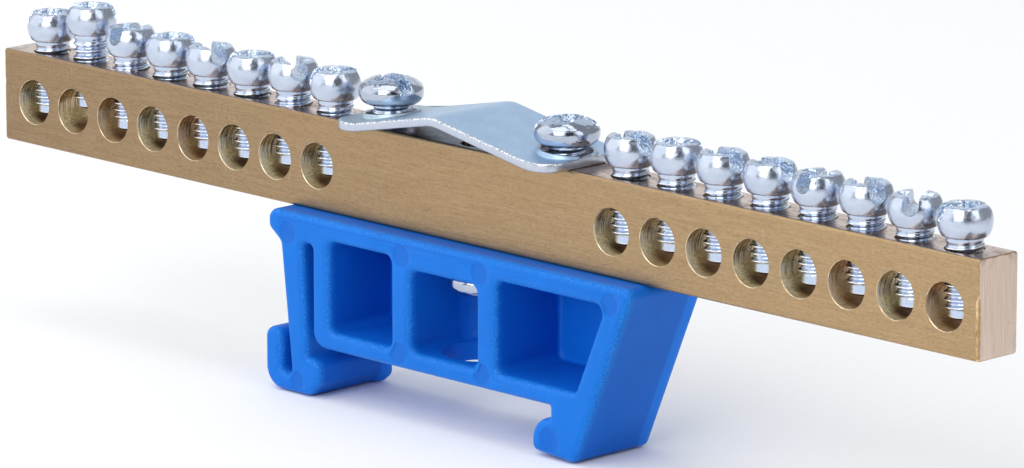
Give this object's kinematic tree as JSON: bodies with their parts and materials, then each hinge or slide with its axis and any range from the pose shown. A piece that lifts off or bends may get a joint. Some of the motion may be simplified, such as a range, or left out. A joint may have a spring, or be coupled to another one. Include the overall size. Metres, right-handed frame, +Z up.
{
  "type": "neutral terminal bar",
  "caption": "Brass neutral bar with ball-headed wire clamp screws and a saddle clamp, on a moulded holder that snaps onto a 35 mm rail.",
  "frame": {"origin": "below the fixing screw's axis, at the bar's mid-depth, level with the holder's feet", "axes": "+X along the bar, the spring leg on the negative side; +Y from the open pockets to the back; +Z up from the feet to the screws"},
  "size_m": [0.1408, 0.0116, 0.035],
  "materials": {
    "brass": "drawn brass, fine lengthwise grain with scratches",
    "zinc_screws": "bright zinc plating",
    "zinc_sheet": "satin zinc-plated sheet steel",
    "blue_plastic": "fine sand-textured blue moulding"
  },
  "bodies": {
    "bar_and_holder": {"busbar": "brass", "saddle_clamp": "zinc_sheet", "rail_holder": "blue_plastic", "fixing_screw": "zinc_screws"},
    "terminal_01": {"terminal_screw_01": "zinc_screws"},
    "terminal_02": {"terminal_screw_02": "zinc_screws"},
    "terminal_03": {"terminal_screw_03": "zinc_screws"},
    "terminal_04": {"terminal_screw_04": "zinc_screws"},
    "terminal_05": {"terminal_screw_05": "zinc_screws"},
    "terminal_06": {"terminal_screw_06": "zinc_screws"},
    "terminal_07": {"terminal_screw_07": "zinc_screws"},
    "terminal_08": {"terminal_screw_08": "zinc_screws"},
    "terminal_09": {"terminal_screw_09": "zinc_screws"},
    "terminal_10": {"terminal_screw_10": "zinc_screws"},
    "terminal_11": {"terminal_screw_11": "zinc_screws"},
    "terminal_12": {"terminal_screw_12": "zinc_screws"},
    "terminal_13": {"terminal_screw_13": "zinc_screws"},
    "terminal_14": {"terminal_screw_14": "zinc_screws"},
    "terminal_15": {"terminal_screw_15": "zinc_screws"},
    "terminal_16": {"terminal_screw_16": "zinc_screws"},
    "clamp_left": {"clamp_screw_left": "zinc_screws"},
    "clamp_right": {"clamp_screw_right": "zinc_screws"}
  },
  "joints": [
    {"name": "terminal_01_travel", "type": "slide", "parent": "bar_and_holder", "child": "terminal_01", "axis": [0, 0, 1], "range_m": [-0.00052, 0.0039]},
    {"name": "terminal_02_travel", "type": "slide", "parent": "bar_and_holder", "child": "terminal_02", "axis": [0, 0, 1], "range_m": [-0.00212, 0.0023]},
    {"name": "terminal_03_travel", "type": "slide", "parent": "bar_and_holder", "child": "terminal_03", "axis": [0, 0, 1], "range_m": [-0.00072, 0.0037]},
    {"name": "terminal_04_travel", "type": "slide", "parent": "bar_and_holder", "child": "terminal_04", "axis": [0, 0, 1], "range_m": [-0.00062, 0.0038]},
    {"name": "terminal_05_travel", "type": "slide", "parent": "bar_and_holder", "child": "terminal_05", "axis": [0, 0, 1], "range_m": [-0.00052, 0.0039]},
    {"name": "terminal_06_travel", "type": "slide", "parent": "bar_and_holder", "child": "terminal_06", "axis": [0, 0, 1], "range_m": [-0.00052, 0.0039]},
    {"name": "terminal_07_travel", "type": "slide", "parent": "bar_and_holder", "child": "terminal_07", "axis": [0, 0, 1], "range_m": [-0.00082, 0.0036]},
    {"name": "terminal_08_travel", "type": "slide", "parent": "bar_and_holder", "child": "terminal_08", "axis": [0, 0, 1], "range_m": [-0.00072, 0.0037]},
    {"name": "terminal_09_travel", "type": "slide", "parent": "bar_and_holder", "child": "terminal_09", "axis": [0, 0, 1], "range_m": [-0.00042, 0.004]},
    {"name": "terminal_10_travel", "type": "slide", "parent": "bar_and_holder", "child": "terminal_10", "axis": [0, 0, 1], "range_m": [-0.00072, 0.0037]},
    {"name": "terminal_11_travel", "type": "slide", "parent": "bar_and_holder", "child": "terminal_11", "axis": [0, 0, 1], "range_m": [-0.00072, 0.0037]},
    {"name": "terminal_12_travel", "type": "slide", "parent": "bar_and_holder", "child": "terminal_12", "axis": [0, 0, 1], "range_m": [-0.00072, 0.0037]},
    {"name": "terminal_13_travel", "type": "slide", "parent": "bar_and_holder", "child": "terminal_13", "axis": [0, 0, 1], "range_m": [-0.00062, 0.0038]},
    {"name": "terminal_14_travel", "type": "slide", "parent": "bar_and_holder", "child": "terminal_14", "axis": [0, 0, 1], "range_m": [-0.00072, 0.0037]},
    {"name": "terminal_15_travel", "type": "slide", "parent": "bar_and_holder", "child": "terminal_15", "axis": [0, 0, 1], "range_m": [-0.00052, 0.0039]},
    {"name": "terminal_16_travel", "type": "slide", "parent": "bar_and_holder", "child": "terminal_16", "axis": [0, 0, 1], "range_m": [-0.00052, 0.0039]},
    {"name": "clamp_left_travel", "type": "slide", "parent": "bar_and_holder", "child": "clamp_left", "axis": [0, 0, 1], "range_m": [-0.00045, 0.005]},
    {"name": "clamp_right_travel", "type": "slide", "parent": "bar_and_holder", "child": "clamp_right", "axis": [0, 0, 1], "range_m": [-0.0001, 0.005]}
  ]
}
